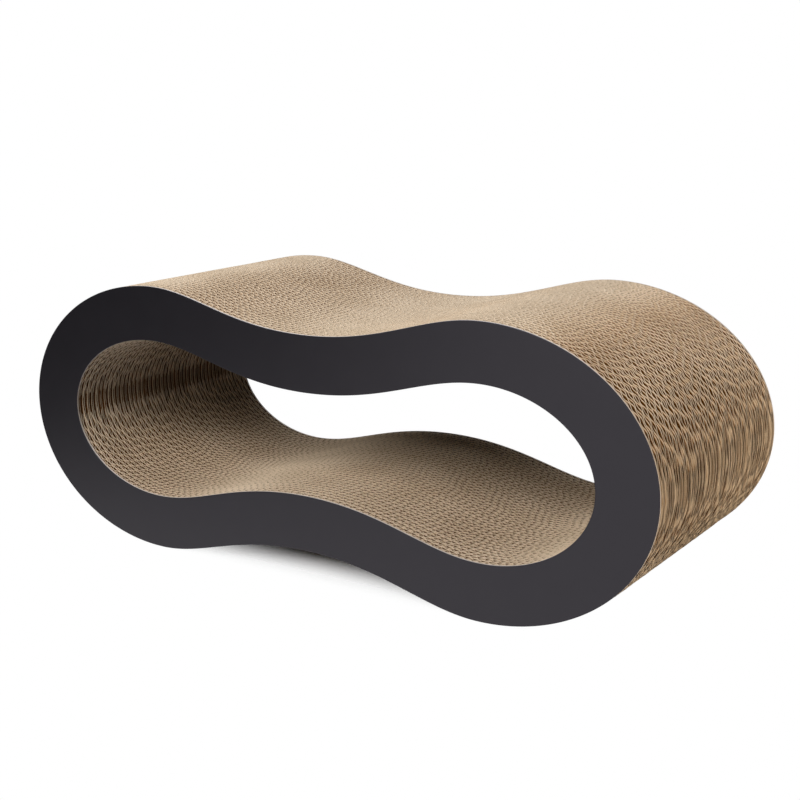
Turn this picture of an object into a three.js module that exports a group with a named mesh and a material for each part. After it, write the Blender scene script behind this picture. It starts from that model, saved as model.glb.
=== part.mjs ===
// A cat lounger: a low tunnel with two rounded lobes and a dipped middle, which a cat lies on or in.
// It is a stack of die-cut rings of double-wall corrugated board, glued face to face, between two printed sheets.
// Millimetres. X runs along the length, Y from the front to the back and Z up, with the floor at Z = 0.
import * as THREE from 'three';

// Driving dimensions of the ring that every layer is cut to.
const length = 660; // end to end
const height = 250; // floor to crest
const lobeReach = 156; // from an end to where its crest starts, along X
const crestFlat = 16; // level run on each crest, where the lounger stands
const waistDip = 28; // how far the middle lies below the crests
const endWall = 53; // ring width at the two ends
const wall = 50.5; // ring width above and below the tunnel

// The dip leaves the crest and reaches the middle level. Each handle is a share of the run between them.
const shoulderHandle = 0.1;
const waistHandle = 0.41;

// Driving dimensions of the stack.
const boardCount = 43;
const boardThickness = 5.7;
const sheetThickness = 2;
const glueLine = 0.1; // glue between neighbours

// Straight steps that each curve is drawn with.
const outerLobeSteps = 7;
const tunnelLobeSteps = 5;
const dipSteps = 4;

const kraft = new THREE.MeshStandardMaterial({ color: 0xb2946c, roughness: 0.92, metalness: 0 });
const charcoal = new THREE.MeshStandardMaterial({ color: 0x3a383b, roughness: 0.6, metalness: 0 });

// One outline about the ring's centre: a quarter from the right end to the middle of the top, mirrored both ways.
// The outer edge and the tunnel share their crests, so the ring keeps its width along the dip.
function ringOutline(halfLength, halfHeight, lobeSteps) {
  const crestStart = length / 2 - lobeReach;
  const dipStart = crestStart - crestFlat;
  const middle = halfHeight - waistDip;
  const lobe = new THREE.EllipseCurve(crestStart, 0, halfLength - crestStart, halfHeight, 0, Math.PI / 2);
  const dip = new THREE.CubicBezierCurve(
    new THREE.Vector2(dipStart, halfHeight),
    new THREE.Vector2(dipStart * (1 - shoulderHandle), halfHeight),
    new THREE.Vector2(dipStart * waistHandle, middle),
    new THREE.Vector2(0, middle),
  );
  const right = [...lobe.getPoints(lobeSteps), ...dip.getPoints(dipSteps)];
  const left = right.slice(0, -1).reverse().map((point) => new THREE.Vector2(-point.x, point.y));
  const top = [...right, ...left];
  const bottom = top.slice(1, -1).map((point) => new THREE.Vector2(-point.x, -point.y));
  return [...top, ...bottom];
}

// A flat ring of the given thickness, upright on the floor, with its back face at Y = 0.
function ringGeometry(thickness) {
  const ring = new THREE.Shape(ringOutline(length / 2, height / 2, outerLobeSteps));
  const tunnel = ringOutline(length / 2 - endWall, height / 2 - wall, tunnelLobeSteps);
  ring.holes.push(new THREE.Path(tunnel));
  const geometry = new THREE.ExtrudeGeometry(ring, { depth: thickness, bevelEnabled: false });
  geometry.rotateX(Math.PI / 2);
  geometry.translate(0, 0, height / 2);
  return geometry;
}

const board = ringGeometry(boardThickness);
const sheet = ringGeometry(sheetThickness);

const lounger = new THREE.Group();

function addLayer(name, geometry, material, backFace) {
  const layer = new THREE.Mesh(geometry, material);
  layer.name = name;
  layer.position.y = backFace;
  lounger.add(layer);
}

// The stack is centred on Y = 0: a printed sheet, the boards one behind another, and the other printed sheet.
const boardPitch = boardThickness + glueLine;
const stackFront = -(boardCount * boardPitch - glueLine) / 2;

addLayer('front_sheet', sheet, charcoal, stackFront - glueLine);
for (let index = 0; index < boardCount; index += 1) {
  const name = `board_${String(index + 1).padStart(2, '0')}`;
  addLayer(name, board, kraft, stackFront + index * boardPitch + boardThickness);
}
addLayer('back_sheet', sheet, charcoal, -stackFront + glueLine + sheetThickness);

export default lounger;
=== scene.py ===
# %% [markdown]
# # A cat lounger of corrugated board
# The lounger is a low tunnel with two rounded lobes and a dipped middle. It is a stack of rings,
# die-cut from double-wall corrugated board and glued face to face between two dark printed sheets. The
# cut edges of the board are the surface that a cat scratches and lies on, so they carry the look: open
# flutes on top, long streaks at the ends.
#
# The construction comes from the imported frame, in metres with Z up. This lesson dresses each layer of it.

# %% Load the frame
import math
from collections import namedtuple

import bmesh
import bpy
import numpy as np
from mathutils import Matrix, Vector


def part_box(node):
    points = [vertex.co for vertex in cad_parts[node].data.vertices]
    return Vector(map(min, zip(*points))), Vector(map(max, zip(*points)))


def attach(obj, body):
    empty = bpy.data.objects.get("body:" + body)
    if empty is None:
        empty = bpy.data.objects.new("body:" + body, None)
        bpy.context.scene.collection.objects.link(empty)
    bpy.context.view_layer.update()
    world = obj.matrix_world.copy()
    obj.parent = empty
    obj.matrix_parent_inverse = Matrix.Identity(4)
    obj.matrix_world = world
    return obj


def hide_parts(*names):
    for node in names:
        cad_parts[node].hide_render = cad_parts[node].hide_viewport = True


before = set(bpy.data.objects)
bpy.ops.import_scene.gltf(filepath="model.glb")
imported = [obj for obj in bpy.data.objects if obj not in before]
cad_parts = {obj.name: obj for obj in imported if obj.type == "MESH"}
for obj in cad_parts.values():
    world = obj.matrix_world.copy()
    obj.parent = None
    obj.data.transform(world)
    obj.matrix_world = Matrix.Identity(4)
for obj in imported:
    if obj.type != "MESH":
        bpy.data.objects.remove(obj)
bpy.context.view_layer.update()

board_names = sorted(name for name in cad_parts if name.startswith("board_"))
print("boards in the stack:", len(board_names))

# %% [markdown]
# ## The outline that every layer is cut to
# One die cuts all the rings. A quarter of its outline is enough: a quarter ellipse from the end up to the
# crest, and a curve that leaves the crest level, sinks, and arrives level in the middle. The other three
# quarters are mirror images. The outer edge and the tunnel use the same rule with different half sizes,
# so one function draws both. Tracing a picture would also give an outline, but not a smooth one that fits
# the frame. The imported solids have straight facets, and a level one at each crest to stand on. The real
# outline is round, so this curve is smooth and stays within a millimetre and a half of the facets.

# %% Ring sizes
MM = 0.001
LOBE_REACH = 156 * MM  # from an end to its crest
WAIST_DIP = 28 * MM  # how far the middle lies below the crests
END_WALL = 53 * MM  # ring width at the two ends
WALL = 50.5 * MM  # ring width above and below the tunnel

sheet_low, sheet_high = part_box("front_sheet")
length = sheet_high.x - sheet_low.x
height = sheet_high.z - sheet_low.z
middle_height = (sheet_high.z + sheet_low.z) / 2
print(f"ring: {length / MM:.1f} by {height / MM:.1f} mm")

# %% Quarter outlines
SHOULDER_HANDLE = 0.3  # handles of the dip, as shares of its run
WAIST_HANDLE = 0.475
DIP_POINTS = 120
LOBE_POINTS = 240


def quarter_outline(half_length, half_height):
    """x and z along a quarter of an outline, from the middle of the top to the right end."""
    crest = length / 2 - LOBE_REACH
    t = np.linspace(1, 0, DIP_POINTS)
    s = 1 - t
    dip_x = s**3 + 3 * s**2 * t * (1 - SHOULDER_HANDLE) + 3 * s * t**2 * WAIST_HANDLE
    dip_z = 3 * s * t**2 + t**3
    turn = np.linspace(math.pi / 2, 0, LOBE_POINTS)[1:]
    lobe_x = crest + (half_length - crest) * np.cos(turn)
    lobe_z = half_height * np.sin(turn)
    return np.append(crest * dip_x, lobe_x), np.append(half_height - WAIST_DIP * dip_z, lobe_z)


OUTER = quarter_outline(length / 2, height / 2)
TUNNEL = quarter_outline(length / 2 - END_WALL, height / 2 - WALL)


def half_height_at(x, quarter):
    """How far an outline lies above the ring's centre at each x. Past its end that is nothing."""
    return np.interp(np.abs(x), *quarter, right=0.0)


print(f"half height at the middle: {half_height_at(0, OUTER) / MM:.1f} mm outside, "
      f"{half_height_at(0, TUNNEL) / MM:.1f} mm in the tunnel")

# %% Whole outlines
LINER_POINTS = 168  # corners round the outline of a board's flat papers


def even_points(quarter, count):
    """count points round a whole outline, evenly spaced along it, as x and z about the ring's centre."""
    x, z = quarter
    full_x = np.concatenate([x, x[-2::-1], -x[1:], -x[-2::-1]])
    full_z = np.concatenate([z, -z[-2::-1], -z[1:], z[-2::-1]])
    along = np.append(0, np.cumsum(np.hypot(np.diff(full_x), np.diff(full_z))))
    at = np.arange(count) / count * along[-1]
    return list(zip(np.interp(at, along, full_x), np.interp(at, along, full_z)))


def slant_at(outline):
    """How near the cut is to 45 degrees at each point: 1 there, 0 where it is level or upright."""
    x, z = np.array(outline).T
    run = np.roll(x, -1) - np.roll(x, 1)
    rise = np.roll(z, -1) - np.roll(z, 1)
    return (2 * run * rise / (run**2 + rise**2)) ** 2


slants = slant_at(even_points(OUTER, LINER_POINTS))
print(f"outline points where the cut slants: {np.count_nonzero(slants > 0.5)} of {len(slants)}")

# %% [markdown]
# ## The camera
# The photograph is taken from the right of the front, a little above the lounger. The camera comes before
# the pieces. A camera without roll would be simpler, but the picture leans by half a degree, so the turn
# about the view axis is kept.

# %% Camera
CAMERA_AT = Vector((715.2, -1055.6, 441.0)) * MM
CAMERA_YAW = math.radians(33.52)
CAMERA_DOWN = math.radians(13.307)
CAMERA_LEAN = math.radians(0.44)

camera_data = bpy.data.cameras.new("camera")
camera_data.sensor_width = 36.0
camera_data.lens = 62.865
camera = bpy.data.objects.new("camera", camera_data)
bpy.context.scene.collection.objects.link(camera)
aim = Matrix.Rotation(CAMERA_YAW, 4, "Z") @ Matrix.Rotation(math.pi / 2 - CAMERA_DOWN, 4, "X")
camera.matrix_world = Matrix.Translation(CAMERA_AT) @ aim @ Matrix.Rotation(-CAMERA_LEAN, 4, "Z")
bpy.context.scene.camera = camera
print("camera at", [round(value, 3) for value in CAMERA_AT])

# %% [markdown]
# ## Greyboard
# The printed sheets come first, because they are the plainest pieces. Their core is greyboard: pressed
# waste paper, pale, with faint layers that show on a cut edge. A picture of real greyboard would need an
# unwrapped edge. A noise drawn out along the sheet gives the layers without one, because it works on
# Object coordinates and keeps its size in metres. The same noise raises the surface a little.


# %% A new finish
def link(owner, source, target):
    """Joins an output socket to an input socket in a material or world."""
    owner.node_tree.links.new(source, target)


def new_finish(name, roughness, specular):
    """A material, its Principled shader, and a socket that gives Object coordinates."""
    material = bpy.data.materials.new(name)
    material.use_nodes = True
    nodes = material.node_tree.nodes
    shader = nodes["Principled BSDF"]
    shader.inputs["Roughness"].default_value = roughness
    shader.inputs["Specular IOR Level"].default_value = specular
    return material, shader, nodes.new("ShaderNodeTexCoord").outputs["Object"]


greyboard, greyboard_shader, on_greyboard = new_finish("raw_greyboard", roughness=0.9, specular=0.15)
print("new finish:", greyboard.name)


# %% Greyboard layers
def noise(material, coordinates, size, stretch=(1, 1, 1), detail=2.0):
    """A noise whose grains are about size across, drawn out along each axis by stretch."""
    nodes = material.node_tree.nodes
    mapping = nodes.new("ShaderNodeMapping")
    mapping.inputs["Scale"].default_value = [1 / (size * share) for share in stretch]
    texture = nodes.new("ShaderNodeTexNoise")
    texture.inputs["Scale"].default_value = 1.0
    texture.inputs["Detail"].default_value = detail
    link(material, coordinates, mapping.inputs["Vector"])
    link(material, mapping.outputs["Vector"], texture.inputs["Vector"])
    return texture.outputs["Fac"]


layers = noise(greyboard, on_greyboard, 0.5 * MM, (8, 1, 8))
print("nodes with the layers' noise:", len(greyboard.node_tree.nodes))

# %% Greyboard tones
DARK_LAYER = (0.50, 0.43, 0.365)
PALE_LAYER = (0.62, 0.545, 0.475)


def ramp(material, factor, *stops):
    """A colour that runs through stops, each a position and a colour, as factor grows."""
    node = material.node_tree.nodes.new("ShaderNodeValToRGB")
    elements = node.color_ramp.elements
    while len(elements) < len(stops):
        elements.new(0.5)
    for element, (position, colour) in zip(elements, stops):
        element.position = position
        element.color = (*colour, 1.0)
    link(material, factor, node.inputs["Fac"])
    return node.outputs["Color"]


layer_tone = ramp(greyboard, layers, (0.35, DARK_LAYER), (0.65, PALE_LAYER))
link(greyboard, layer_tone, greyboard_shader.inputs["Base Color"])
print("nodes with its tones:", len(greyboard.node_tree.nodes))


# %% Greyboard surface
def bump(material, shader, factor, depth):
    """Raises the surface by factor, up to depth metres."""
    node = material.node_tree.nodes.new("ShaderNodeBump")
    node.inputs["Strength"].default_value = 1.0
    node.inputs["Distance"].default_value = depth
    link(material, factor, node.inputs["Height"])
    link(material, node.outputs["Normal"], shader.inputs["Normal"])


bump(greyboard, greyboard_shader, layers, 0.04 * MM)
print("nodes with its surface:", len(greyboard.node_tree.nodes))

# %% [markdown]
# ## Charcoal print
# The print is charcoal with a satin sheen. Its own colour is nearly black, and the grey that the eye sees
# is mostly the pale studio, mirrored softly with a hint of violet. A grey paint would look right from
# one side only. So the colour is low, the roughness is moderate and the sheen is tinted. A broad mottle
# and a fine grain keep it from looking like plastic.

# %% Charcoal
DARK_INK = (0.0060, 0.0052, 0.0064)
PALE_INK = (0.0074, 0.0065, 0.0078)
DUST = (0.9, 0.9, 0.9)
WHITE = (1.0, 1.0, 1.0)
VIOLET_SHEEN = (1.0, 0.94, 1.06, 1.0)


def multiply(material, first, second, amount):
    """First times second, by amount."""
    node = material.node_tree.nodes.new("ShaderNodeMix")
    node.data_type = "RGBA"
    node.blend_type = "MULTIPLY"
    node.inputs["Factor"].default_value = amount
    link(material, first, node.inputs["A"])
    link(material, second, node.inputs["B"])
    return node.outputs["Result"]


charcoal, charcoal_shader, on_charcoal = new_finish("printed_charcoal", roughness=0.33, specular=0.48)
charcoal_shader.inputs["Specular Tint"].default_value = VIOLET_SHEEN
mottle = noise(charcoal, on_charcoal, 25 * MM, detail=5.0)
grain = noise(charcoal, on_charcoal, 0.6 * MM)
ink = ramp(charcoal, mottle, (0.3, DARK_INK), (0.7, PALE_INK))
dust = ramp(charcoal, grain, (0.3, DUST), (0.7, WHITE))
link(charcoal, multiply(charcoal, ink, dust, 1.0), charcoal_shader.inputs["Base Color"])
bump(charcoal, charcoal_shader, grain, 0.01 * MM)
print("nodes in the print:", len(charcoal.node_tree.nodes))

# %% [markdown]
# ## Flat rings
# The sheets and the flat papers of the boards are all thin rings. Such a ring starts as two circles that
# are moved onto the outer outline and the tunnel. Bridging them gives one side, and extruding that side
# closes the solid. A boolean of two plates would make the same shape with less tidy faces.
#
# A board's papers get painted shade deep inside, away from the die's cut. So each vertex also notes how
# deep it lies below the outer cut and below the tunnel's cut, in millimetres, for the finishes to read.

# %% A mesh for papers
TO_OUTER_CUT = "to_outer_cut"  # names of the two depths
TO_TUNNEL_CUT = "to_tunnel_cut"


def new_paper_mesh():
    """An empty bmesh whose vertices can carry their depths below the two cuts."""
    bm = bmesh.new()
    bm.verts.layers.float.new(TO_OUTER_CUT)
    bm.verts.layers.float.new(TO_TUNNEL_CUT)
    return bm


trial_mesh = new_paper_mesh()
print("each vertex carries:", trial_mesh.verts.layers.float.keys())


# %% A loop on an outline
def outline_loop(bm, quarter, front, points, short, slant_short):
    """A loop on an outline at y = front. It ends short of the cut, and more so where that slants."""
    cut, far_cut, into_ring = TO_OUTER_CUT, TO_TUNNEL_CUT, -1
    if quarter is TUNNEL:
        cut, far_cut, into_ring = TO_TUNNEL_CUT, TO_OUTER_CUT, 1
    below_cut = bm.verts.layers.float[cut]
    below_far_cut = bm.verts.layers.float[far_cut]
    loop = bmesh.ops.create_circle(bm, cap_ends=False, radius=1, segments=points)["verts"]
    outline = even_points(quarter, points)
    for vert, (x, z), slant in zip(loop, outline, slant_at(outline)):
        gap = short + slant_short * slant
        # a liner drawn back starts this deep in the painted shade
        vert[below_cut] = gap / MM
        vert[below_far_cut] = WALL / MM
        pull = 1 + into_ring * gap / math.hypot(x, z)
        vert.co = (x * pull, front, middle_height + z * pull)
    return loop


trial_loop = outline_loop(trial_mesh, OUTER, 0.0, LINER_POINTS, 0.0, 0.0)
print(f"a trial loop reaches up to {max(vert.co.z for vert in trial_loop) / MM:.1f} mm")
trial_mesh.free()

# %% A flat ring
Paper = namedtuple("Paper", "faces cut_edges front_verts")  # cut_edges are the faces on the cuts


def flat_ring(bm, front, thickness, points, short=0.0, slant_short=0.0):
    """A closed ring behind y = front, with its edges short of the cuts."""
    loops = outline_loop(bm, OUTER, front, points, short, slant_short)
    loops += outline_loop(bm, TUNNEL, front, points, short, 0.0)
    edges = list({edge for vert in loops for edge in vert.link_edges})
    side = bmesh.ops.bridge_loops(bm, edges=edges)["faces"]
    grown = bmesh.ops.extrude_face_region(bm, geom=side)["geom"]
    moved = [item for item in grown if isinstance(item, bmesh.types.BMVert)]
    bmesh.ops.translate(bm, verts=moved, vec=(0, thickness, 0))
    faces = {face for vert in loops + moved for face in vert.link_faces}
    bmesh.ops.recalc_face_normals(bm, faces=list(faces))
    return Paper(faces, {face for face in faces if abs(face.normal.y) < 0.5}, set(loops))


trial_mesh = new_paper_mesh()
trial = flat_ring(trial_mesh, 0.0, 1 * MM, LINER_POINTS)
print("a trial ring has", len(trial.faces), "faces, of which on the cuts:", len(trial.cut_edges))
trial_mesh.free()

# %% [markdown]
# ## Pieces
# Every layer of the real lounger is a piece of its own, and so is every layer here. Joining them all into
# one mesh would be quicker to write, but then no layer could be counted, moved or recoloured. So a helper
# makes one object of each mesh, names it after the imported solid that it stands in for, gives it its
# materials and hides that solid.


# %% Adding a piece
def add_piece(name, bm, materials):
    """Turns a bmesh into an object that stands in for the node of that name."""
    mesh = bpy.data.meshes.new(name)
    bm.to_mesh(mesh)
    bm.free()
    for material in materials:
        mesh.materials.append(material)
    piece = bpy.data.objects.new(name, mesh)
    bpy.context.scene.collection.objects.link(piece)
    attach(piece, "root")
    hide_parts(name)
    return piece


print("pieces to add:", len(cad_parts))

# %% [markdown]
# ## Printed sheets
# The die presses the print's edge round a little, and the greyboard shows below it as a pale line all the
# way along the outline and the tunnel. A finish that changes near the edge could draw that line, but it
# would not catch the light. A bevel of the print's edges makes the pressed edge. Its faces are given the
# print, so that the pale line starts where the bevel ends.

# %% Sheets
PRINT_SLOT, CORE_SLOT = range(2)
SHEET_POINTS = 420
PRESSED_EDGE = 0.4 * MM


def printed_sheet(name, outward):
    """A sheet in the room of its node, with its print on the side that faces outward along y."""
    low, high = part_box(name)
    bm = new_paper_mesh()
    for face in flat_ring(bm, low.y, high.y - low.y, SHEET_POINTS).faces:
        face.material_index = PRINT_SLOT if face.normal.y * outward > 0.5 else CORE_SLOT
    pressed = []
    for edge in bm.edges:
        if {face.material_index for face in edge.link_faces} == {PRINT_SLOT, CORE_SLOT}:
            pressed.append(edge)
    bevel = bmesh.ops.bevel(bm, geom=pressed, offset=PRESSED_EDGE, offset_type="OFFSET", segments=3,
                            profile=0.5, affect="EDGES", material=-1)
    for face in bevel["faces"]:
        face.material_index = PRINT_SLOT
    return add_piece(name, bm, (charcoal, greyboard))


for name, outward in (("front_sheet", -1), ("back_sheet", 1)):
    sheet = printed_sheet(name, outward)
    print(name, "faces:", len(sheet.data.polygons))

# %% [markdown]
# ## Board papers
# Raw board shows three surfaces: the flat liners, the fluted papers between them, and the cut edges of
# both. They are one kraft paper, with broad clouds, fine fibres and a few dark specks.
#
# What tells them apart is depth. A paper keeps its own colour for a fraction of a millimetre below the
# cut. Deeper in, a cell gets only light that has been from paper to paper, which turns first warm and
# then brown. Ray tracing finds some of that, but papers this thin would need far more bounces and samples
# than a render has. So the finishes paint that light and shade in, by the depth that the vertices carry:
# a painted warm bounce, then painted brown shade. Seen at a low angle the cells then look pale, and seen
# from above they look dark, as in real board.

# %% Painted shade below the cut
# Painted light: the warm light that bounces from paper to paper, painted midway down a cell.
PAINTED_CELL_BOUNCE = (0.56, 0.35, 0.17)  # what is left of the light after a few papers


def painted_depth_shade(material, unshaded_to, dark_from, shade):
    """White to unshaded_to mm below the nearer cut, then a painted warm bounce, then painted shade from
    dark_from mm on.
    """
    nodes = material.node_tree.nodes
    nearer = nodes.new("ShaderNodeMath")
    nearer.operation = "MINIMUM"
    for name, depth in zip((TO_OUTER_CUT, TO_TUNNEL_CUT), nearer.inputs):
        attribute = nodes.new("ShaderNodeAttribute")
        attribute.attribute_name = name
        link(material, attribute.outputs["Fac"], depth)
    stops = (unshaded_to, WHITE), ((unshaded_to + dark_from) / 2, PAINTED_CELL_BOUNCE), (dark_from, shade)
    return ramp(material, nearer.outputs["Value"], *stops)


print("light left in a cell:", PAINTED_CELL_BOUNCE)

# %% Raw paper
DARK_PAPER = (0.69, 0.54, 0.38)
PALE_PAPER = (0.81, 0.655, 0.48)
FIBRE = (0.72, 0.70, 0.66)
SPECK = (0.55, 0.48, 0.40)


def paper_finish(name, fibre_stretch, unshaded_to, dark_from, shade):
    """A raw paper with its fibres drawn out along the axes by fibre_stretch, with painted shade below the
    cut.
    """
    material, shader, coordinates = new_finish(name, roughness=0.93, specular=0.0)
    clouds = noise(material, coordinates, 60 * MM, detail=4.0)
    fibres = noise(material, coordinates, 1.2 * MM, fibre_stretch, detail=4.0)
    specks = noise(material, coordinates, 2.2 * MM, (1.6, 1, 1), detail=1.0)
    tone = ramp(material, clouds, (0.3, DARK_PAPER), (0.7, PALE_PAPER))
    grain = ramp(material, fibres, (0.25, FIBRE), (0.6, WHITE))
    spots = ramp(material, specks, (0.22, SPECK), (0.3, WHITE))
    colour = multiply(material, multiply(material, tone, grain, 0.7), spots, 0.6)
    # painted bounce light and painted shade in the cells, by depth below the cut
    colour = multiply(material, colour, painted_depth_shade(material, unshaded_to, dark_from, shade), 1.0)
    link(material, colour, shader.inputs["Base Color"])
    return material


print("raw paper runs from", DARK_PAPER, "to", PALE_PAPER)

# %% Three papers
# Painted shade deep in the cells, where little light reaches.
LINER_SHADE = (0.13, 0.058, 0.018)  # what is left of a paper's colour deep inside
FLUTE_SHADE = (0.16, 0.082, 0.032)

liner_paper = paper_finish("liner_paper", (3, 1, 1), unshaded_to=0.38, dark_from=0.46, shade=LINER_SHADE)
flute_paper = paper_finish("flute_paper", (1, 1, 3), unshaded_to=0.36, dark_from=0.70, shade=FLUTE_SHADE)
cut_edge = paper_finish("cut_edge", (1, 1, 1), unshaded_to=0.10, dark_from=0.60, shade=FLUTE_SHADE)
print("paper finishes:", liner_paper.name, flute_paper.name, cut_edge.name)

# %% [markdown]
# ## Fluted papers
# Each double-wall board has three flat liners with a coarse and a fine fluted paper glued between them. A
# bump map could fake the flutes from afar, but the cut runs across them on top and along them at the
# ends, and only real papers give the open cells of the one and the streaks of the other.
#
# The wave is a sine along the length. The die cuts each paper four times: at the bottom, at the tunnel's
# floor and roof, and at the top. It never cuts quite evenly, so each cut is frayed by a random amount.

# %% Wave and cuts
FLUTE_PAPER = 0.24 * MM
STEPS_PER_FLUTE = 6
COARSE_PITCH = 7.5 * MM
FINE_PITCH = 6.4 * MM
FRAY = 0.12 * MM  # how unevenly the die cuts


def wave(front, back, pitch, shift, short):
    """x and y along a paper that waves between y = front and y = back and ends short of the ring."""
    columns = round(length / pitch * STEPS_PER_FLUTE)
    x = np.linspace(short - length / 2, length / 2 - short, columns + 1)
    swing = (back - front - FLUTE_PAPER) / 2
    return x, front + swing + swing * np.sin(2 * math.pi * (x + shift) / pitch)


def frayed_cuts(x, short, draw):
    """Heights of the four cuts about the ring's centre, from the bottom up, a little short and uneven."""
    cuts = []
    for side, quarter, into_ring in ((-1, OUTER, -1), (-1, TUNNEL, 1), (1, TUNNEL, 1), (1, OUTER, -1)):
        edge = half_height_at(x, quarter)
        uneven = short + FRAY * draw.random(len(x))
        cuts.append(side * np.where(edge > 0, np.maximum(edge + into_ring * uneven, 0), 0))
    return cuts


print(f"flutes along a board: {length / COARSE_PITCH:.0f} coarse, {length / FINE_PITCH:.0f} fine")

# %% [markdown]
# ## Depth on a slope
# A cut that slopes lies nearer to a place below it than the height between them. At the ends of the ring
# the flutes even lie open along their length and light falls in. So the depth counts for less the steeper
# the outer cut is, by more than the slope alone would give. In the tunnel, where little light arrives,
# the slope alone is used. Searching for the nearest point of the cut would give the true distance, but
# not the light.

# %% Depth below a cut
SLOPE_ALONE = 1.0
OPEN_FLUTES = 1.5  # raises the slope's effect where light falls into the flutes


def wall_depth(x, quarter, steepness):
    """How deep the ring's wall counts below the cut of an outline, in millimetres."""
    wall = half_height_at(x, OUTER) - half_height_at(x, TUNNEL)
    slope = np.gradient(half_height_at(x, quarter), x)
    return wall / np.hypot(1, slope) ** steepness / MM


along_ring = np.linspace(0, 0.48, 49) * length
depths = wall_depth(along_ring, OUTER, OPEN_FLUTES)
print(f"depth of the wall: {depths[0]:.1f} mm in the middle, {depths[-1]:.1f} mm near the end")

# %% [markdown]
# ## Making a fluted paper
# A fluted paper starts as a flat grid, three rows of faces high and one column of vertices for each step
# of the wave. Its four rows of vertices go to the four cuts. The middle row of faces is the tunnel, so it
# is deleted. Past the tunnel's ends its two edges meet, and merging them closes the paper there. Solidify
# then gives the sheet its thickness. Extruding a curve would be simpler, but it can't follow the cuts.


# %% A waved grid
def waved_grid(bm, x, y, cuts):
    """The four rows of vertices of a grid that follows the wave along x and the cuts up z."""
    grid = bmesh.ops.create_grid(bm, x_segments=len(x) - 1, y_segments=3, size=0.5)["verts"]
    rows = [grid[first:first + len(x)] for first in range(0, len(grid), len(x))]
    for row, cut in zip(rows, cuts):
        for vert, *place in zip(row, x, y, middle_height + cut):
            vert.co = place
    return rows


trial_mesh = new_paper_mesh()
trial_x, trial_y = wave(0.0, 3 * MM, COARSE_PITCH, 0.0, 0.0)
trial_cuts = frayed_cuts(trial_x, 0.0, np.random.default_rng(0))
trial_rows = waved_grid(trial_mesh, trial_x, trial_y, trial_cuts)
print("a trial grid has", len(trial_rows), "rows of", len(trial_rows[0]), "vertices")


# %% Depths on the grid
def note_depths(bm, rows, x):
    """Notes on each vertex of a grid how deep it lies below the two cuts."""
    to_outer = bm.verts.layers.float[TO_OUTER_CUT]
    to_tunnel = bm.verts.layers.float[TO_TUNNEL_CUT]
    below_outer = wall_depth(x, OUTER, OPEN_FLUTES)
    above_tunnel = wall_depth(x, TUNNEL, SLOPE_ALONE)
    in_tunnel = half_height_at(x, TUNNEL) > 0
    for number, row in enumerate(rows):
        for column, vert in enumerate(row):
            vert[to_outer] = 0 if number in (0, 3) else below_outer[column]
            vert[to_tunnel] = 0 if number in (1, 2) and in_tunnel[column] else above_tunnel[column]


note_depths(trial_mesh, trial_rows, trial_x)
noted = trial_mesh.verts.layers.float[TO_OUTER_CUT]
print(f"deepest on the trial grid: {max(vert[noted] for vert in trial_rows[2]):.1f} mm")
trial_mesh.free()

# %% A fluted sheet
SAME_PLACE = 1e-7  # metres between vertices that are merged


def fluted_sheet(bm, front, back, pitch, shift, short, draw):
    """The faces of a waved sheet without thickness, open where the tunnel is."""
    x, y = wave(front, back, pitch, shift, short)
    rows = waved_grid(bm, x, y, frayed_cuts(x, short, draw))
    note_depths(bm, rows, x)
    verts = [vert for row in rows for vert in row]
    faces = {face for vert in verts for face in vert.link_faces}
    at_tunnel = set(rows[1] + rows[2])
    hole = [face for face in faces if at_tunnel.issuperset(face.verts)]
    bmesh.ops.delete(bm, geom=hole, context="FACES")
    bmesh.ops.remove_doubles(bm, verts=[vert for vert in verts if vert.is_valid], dist=SAME_PLACE)
    return [face for face in faces if face.is_valid]


trial_mesh = new_paper_mesh()
trial_sheet = fluted_sheet(trial_mesh, 0.0, 3 * MM, COARSE_PITCH, 0.0, 0.0, np.random.default_rng(0))
print("a trial sheet has", len(trial_sheet), "faces")


# %% A fluted paper
def thickened(bm, sheet):
    """A fluted sheet made into a closed paper."""
    near = {vert for face in sheet for vert in face.verts}
    bmesh.ops.solidify(bm, geom=sheet, thickness=FLUTE_PAPER)
    cut_edges = {face for vert in near for face in vert.link_faces if not near.issuperset(face.verts)}
    verts = near.union(*(face.verts for face in cut_edges))
    return Paper({face for vert in verts for face in vert.link_faces}, cut_edges, near)


trial = thickened(trial_mesh, trial_sheet)
print("a trial paper has", len(trial.faces), "faces, of which on the cuts:", len(trial.cut_edges))
trial_mesh.free()

# %% [markdown]
# ## A map for baking
# A bake puts a piece's colours onto one picture. Blender can unwrap a piece for that by itself, but it
# shares the picture out by area, and a cut edge a quarter of a millimetre wide would get less than one
# pixel. So each board brings a map of its own, under the name that the export looks for. Across the map
# runs the place along the paper. Up the map runs the depth below the outer cut, and the cut edges have
# bands to themselves. Papers of one kind lie over each other there, since at the same place and depth
# they look alike.

# %% Bands of the map
BAKE_MAP = "OFBake"
LINER_BAND = (0.005, 0.445)  # where each kind of face lies, from the foot of the map to its top
FLUTE_BAND = (0.455, 0.895)
LINER_EDGE_BAND = (0.905, 0.945)
FLUTE_EDGE_BAND = (0.955, 0.995)


def share_round(place):
    """How far round the ring a place is, from 0 to 1, starting at the left end."""
    return 0.5 + math.atan2(place.z - middle_height, place.x) / (2 * math.pi)


def share_along(place):
    """How far along the ring a place is, from 0 at the left to 1."""
    return 0.5 + place.x / length


depth_per_pixel = WALL / (LINER_BAND[1] - LINER_BAND[0]) / 1024
print(f"depth on a map of 1024 pixels: {depth_per_pixel / MM:.2f} mm a pixel")

# %% Places on the map
EDGE_WIDTH = 0.3  # of its band
TUNNEL_EDGES_AT = 0.6  # up the band, above the outer edges
ON_OUTER_CUT = 0.02  # share of the wall that still counts as the outer cut
INWARDS = 0.001  # towards a face's centre, which keeps the face on its side of the map's seam


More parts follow.
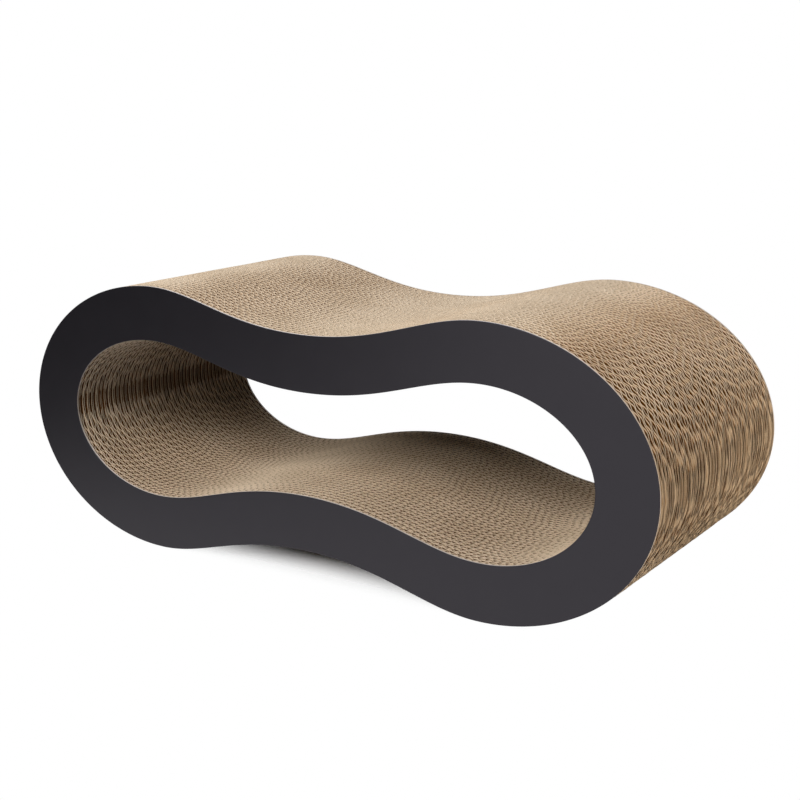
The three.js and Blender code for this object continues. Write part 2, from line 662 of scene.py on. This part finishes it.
def place_on_map(bm, paper, along, face_band, edge_band):
    """Lays a paper's faces in face_band by depth, and its cut edges in edge_band."""
    to_outer = bm.verts.layers.float[TO_OUTER_CUT]
    bake_map = bm.loops.layers.uv[BAKE_MAP]
    for face in paper.faces:
        centre = face.calc_center_median()
        on_cut = face in paper.cut_edges
        low, high = edge_band if on_cut else face_band
        for loop in face.loops:
            share = min(loop.vert[to_outer] * MM / WALL, 1)
            if on_cut:
                in_tunnel = share > ON_OUTER_CUT
                share = EDGE_WIDTH * (loop.vert in paper.front_verts) + TUNNEL_EDGES_AT * in_tunnel
            place = loop.vert.co.lerp(centre, INWARDS)
            loop[bake_map].uv = (along(place), low + share * (high - low))


print("bands on the map:", LINER_BAND, FLUTE_BAND, LINER_EDGE_BAND, FLUTE_EDGE_BAND)

# %% [markdown]
# ## One board
# A board is its three liners and two fluted papers, each a thin closed solid that touches its neighbours.
# One block with a pattern of cells on its edge would be lighter, but the camera looks down into the
# cells. The liners end a hair behind the fluted papers, because the soft flutes spring back after the
# cut. Where the cut slants, the die drags the liners back further, and they start deeper in the painted
# shade, which makes the waves stand out on the shoulders.

# %% Slots of a board
LINER_SLOT, FLUTE_SLOT, CUT_SLOT = range(3)
board_finishes = liner_paper, flute_paper, cut_edge


def wear(paper, slot):
    """Gives a paper its material slot, smooth faces and crisp cut edges."""
    for face in paper.faces:
        face.material_index = slot
        face.smooth = True
    for face in paper.cut_edges:
        face.material_index = CUT_SLOT
        for edge in face.edges:
            edge.smooth = False


print("finishes of a board:", [finish.name for finish in board_finishes])

# %% Papers of a board
LINER = 0.24 * MM
LINER_SHORT = 0.12 * MM  # how far the liners end behind the fluted papers
LINER_UNEVEN = (0.8, 1.2)  # least and most, as shares of that
SLANT_SHORT = 0.45 * MM  # and how much further where the cut slants


def add_liner(bm, front, draw):
    """A flat paper behind y = front, with its finish and its place on the map."""
    short = LINER_SHORT * draw.uniform(*LINER_UNEVEN)
    liner = flat_ring(bm, front, LINER, LINER_POINTS, short, SLANT_SHORT)
    wear(liner, LINER_SLOT)
    place_on_map(bm, liner, share_round, LINER_BAND, LINER_EDGE_BAND)


def add_flute(bm, front, back, pitch, shift, draw):
    """A fluted paper between y = front and y = back, with its finish and its place on the map."""
    short = FRAY * draw.random()
    flute = thickened(bm, fluted_sheet(bm, front, back, pitch, shift, short, draw))
    wear(flute, FLUTE_SLOT)
    place_on_map(bm, flute, share_along, FLUTE_BAND, FLUTE_EDGE_BAND)


print(f"liners end {LINER_SHORT / MM:.2f} mm behind the cut, "
      f"and up to {SLANT_SHORT / MM:.2f} mm more where it slants")

# %% A corrugated board
FINE_SHARE = 0.37  # of the room between the liners


def corrugated_board(name, coarse_shift, fine_shift, jog, draw):
    """A board of three liners and two fluted papers in the room of its node, moved along x by jog."""
    low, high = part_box(name)
    room = high.y - low.y - 3 * LINER
    middle = low.y + LINER + FINE_SHARE * room
    last = high.y - LINER
    bm = new_paper_mesh()
    bm.loops.layers.uv.new(BAKE_MAP)
    for front in (low.y, middle, last):
        add_liner(bm, front, draw)
    add_flute(bm, low.y + LINER, middle, FINE_PITCH, fine_shift, draw)
    add_flute(bm, middle + LINER, last, COARSE_PITCH, coarse_shift, draw)
    bmesh.ops.translate(bm, verts=bm.verts, vec=(jog, 0, 0))
    return add_piece(name, bm, board_finishes)


first_low, first_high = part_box(board_names[0])
print(f"a board is {(first_high.y - first_low.y) / MM:.2f} mm thick")

# %% [markdown]
# ## Stacking the boards
# The rings come from one run of board, but nobody lines up the flutes when they are glued. The fine
# flutes walk on by about a third of a pitch from ring to ring, and the coarse ones by an uneven step,
# which gives the slanting lattice of cells on the top. Nor do the rings end exactly flush. Each is moved
# a little along the length, so some stand out at the ends and throw their neighbours into shade. Copies
# of one board would be quicker, but the eye finds the repeat at once. A seeded draw makes the same stack
# every time.

# %% The stack
COARSE_STEP = (-0.4, 0.6)  # least and most, in pitches
FINE_STEP = (0.33, 0.2)  # mean and spread, in pitches
JOG = 0.4 * MM  # how far a ring may stand out

draw = np.random.default_rng(43)
coarse_shift = fine_shift = 0.0
triangles = []
for name in board_names:
    coarse_shift += COARSE_PITCH * draw.uniform(*COARSE_STEP)
    fine_shift += FINE_PITCH * draw.normal(*FINE_STEP)
    board = corrugated_board(name, coarse_shift, fine_shift, draw.uniform(-JOG, JOG), draw)
    triangles.append(sum(len(face.vertices) - 2 for face in board.data.polygons))
print(f"triangles: {max(triangles)} in the largest board, {sum(triangles)} in the stack")

# %% [markdown]
# ## Floor
# The photograph has a white ground, with a tight, soft shadow under the arch of the front. A plain white
# floor would show its far edge and throw too much light up into the tunnel. So rays that look, from the
# camera, a mirror or glass, see white paper under the lounger and behind it, where its shadow falls, and
# the white world everywhere else. Rays that carry light meet a greyer floor without an end, and the
# tunnel's roof stays dark.


# %% Rays that look
def combine(owner, operation, first, second):
    """The result of a Math node with two sockets joined to it."""
    node = owner.node_tree.nodes.new("ShaderNodeMath")
    node.operation = operation
    link(owner, first, node.inputs[0])
    link(owner, second, node.inputs[1])
    return node.outputs["Value"]


def looking_rays(owner):
    """One for rays from the camera, a mirror or glass, nothing for rays that carry light."""
    path = owner.node_tree.nodes.new("ShaderNodeLightPath").outputs
    camera_or_mirror = combine(owner, "MAXIMUM", path["Is Camera Ray"], path["Is Glossy Ray"])
    return combine(owner, "MAXIMUM", camera_or_mirror, path["Is Transmission Ray"])


floor_paper, floor_shader, on_floor = new_finish("floor_paper", roughness=0.9, specular=0.0)
looking = looking_rays(floor_paper)
print("the floor tells rays apart with", len(floor_paper.node_tree.nodes), "nodes")

# %% Where the floor is seen
BESIDE = (0.17, 0.22)  # metres from the middle where the floor is still seen, and no longer
BEHIND = (0.13, 0.22)
IN_FRONT = (0.06, 0.13)


def grade(owner, value, low, high, at_low, at_high):
    """Goes smoothly from at_low to at_high while value goes from low to high."""
    node = owner.node_tree.nodes.new("ShaderNodeMapRange")
    node.interpolation_type = "SMOOTHSTEP"
    levels = {"From Min": low, "From Max": high, "To Min": at_low, "To Max": at_high}
    for name, level in levels.items():
        node.inputs[name].default_value = level
    link(owner, value, node.inputs["Value"])
    return node.outputs["Result"]


place = floor_paper.node_tree.nodes.new("ShaderNodeSeparateXYZ")
link(floor_paper, on_floor, place.inputs["Vector"])
fades = [
    grade(floor_paper, place.outputs["X"], -BESIDE[1], -BESIDE[0], 0.0, 1.0),
    grade(floor_paper, place.outputs["X"], *BESIDE, 1.0, 0.0),
    grade(floor_paper, place.outputs["Y"], -IN_FRONT[1], -IN_FRONT[0], 0.0, 1.0),
    grade(floor_paper, place.outputs["Y"], *BEHIND, 1.0, 0.0),
]
near = fades[0]
for fade in fades[1:]:
    near = combine(floor_paper, "MULTIPLY", near, fade)
print("edges where the floor fades:", len(fades))

# %% Floor paper
FLOOR_LIT = 0.42  # tone to rays that carry light
FLOOR_SEEN = 0.94  # and to rays that look

carrying = grade(floor_paper, looking, 0.0, 1.0, 1.0, 0.0)
floor_tone = grade(floor_paper, looking, 0.0, 1.0, FLOOR_LIT, FLOOR_SEEN)
link(floor_paper, combine(floor_paper, "MAXIMUM", near, carrying), floor_shader.inputs["Alpha"])
link(floor_paper, floor_tone, floor_shader.inputs["Base Color"])
print("nodes in the floor paper:", len(floor_paper.node_tree.nodes))


# %% Floor plane
def stage_plane(name, half_size, material):
    """A square that belongs to the studio and not to the lounger."""
    bm = bmesh.new()
    bmesh.ops.create_grid(bm, x_segments=1, y_segments=1, size=half_size)
    mesh = bpy.data.meshes.new(name)
    bm.to_mesh(mesh)
    bm.free()
    mesh.materials.append(material)
    plane = bpy.data.objects.new(name, mesh)
    bpy.context.scene.collection.objects.link(plane)
    return plane


floor = stage_plane("floor", 3.0, floor_paper)
print("floor:", [round(side, 2) for side in floor.dimensions])

# %% [markdown]
# ## World
# Behind the floor lies the world. To rays that look it is white, which gives the ground of the picture
# and the sheen of the print. A white backdrop of paper would do the same, but it would also send light
# back. As a light the world is kept faint, because an even light from all sides would fill the cells and
# the tunnel.

# %% World
AMBIENT = 0.04


def studio_world(ambient):
    """White to rays that look, and an even light of strength ambient to all others."""
    world = bpy.data.worlds.new("studio")
    world.use_nodes = True
    nodes = world.node_tree.nodes
    light = nodes["Background"]
    seen = nodes.new("ShaderNodeBackground")
    for background, strength in ((light, ambient), (seen, 1.0)):
        background.inputs["Color"].default_value = (*WHITE, 1.0)
        background.inputs["Strength"].default_value = strength
    choose = nodes.new("ShaderNodeMixShader")
    link(world, looking_rays(world), choose.inputs["Fac"])
    link(world, light.outputs["Background"], choose.inputs[1])
    link(world, seen.outputs["Background"], choose.inputs[2])
    link(world, choose.outputs["Shader"], nodes["World Output"].inputs["Surface"])
    return world


bpy.context.scene.world = studio_world(AMBIENT)
print("world:", bpy.context.scene.world.name)

# %% [markdown]
# ## Lights
# Three softboxes light the lounger. The key stands at the front, above the camera, and reaches the front
# of the tunnel's floor but not its roof. A cool one overhead lights the top, and a small warm one at the
# right lifts that end. It is kept narrow, since a wide one would shine in at the tunnel's front. One big
# light would be simpler, but the photograph's top, end and tunnel differ in tone and warmth.

# %% Softboxes
COOL = (0.92, 1.0, 1.15)
WARM = (1.0, 0.83, 0.62)


def softbox(name, at, towards, width, depth, power, colour=WHITE):
    """A rectangular area light."""
    data = bpy.data.lights.new(name, "AREA")
    data.shape = "RECTANGLE"
    data.size = width
    data.size_y = depth
    data.energy = power
    data.color = colour
    light = bpy.data.objects.new(name, data)
    light.location = at
    light.rotation_euler = (Vector(towards) - Vector(at)).to_track_quat("-Z", "Y").to_euler()
    bpy.context.scene.collection.objects.link(light)


softbox("key", (-0.1, -1.66, 1.3), (0, 0, 0.12), width=1.0, depth=1.0, power=36.0)
softbox("overhead", (-0.6, -0.1, 1.85), (-0.1, 0, 0.1), width=1.2, depth=1.2, power=28.0, colour=COOL)
softbox("side", (1.5, 0.0, 0.0), (0.3, 0, 0.1), width=0.24, depth=0.5, power=19.0, colour=WARM)
bpy.context.scene.view_settings.view_transform = "Standard"

# %% [markdown]
# ## Dark card
# The print is darker at its upper left, because it mirrors the unlit part of the room there. A gradient
# in its colour would stay when the lounger turns. So a dark card stands out of view at the front left,
# clear of the key's path, and the print mirrors that.

# %% Card
CARD_AT = (-1.22, -0.92, 0.5)
CARD_TURN = math.radians(-62)
CARD_TONE = (0.02, 0.02, 0.02, 1.0)

dark, dark_shader, _ = new_finish("dark_card", roughness=1.0, specular=0.0)
dark_shader.inputs["Base Color"].default_value = CARD_TONE
card = stage_plane("dark_card", 0.8, dark)
upright = Matrix.Rotation(CARD_TURN, 4, "Z") @ Matrix.Rotation(math.radians(90), 4, "X")
card.matrix_world = Matrix.Translation(CARD_AT) @ upright
card.visible_camera = False
print("card at", [round(value, 2) for value in card.matrix_world.translation])
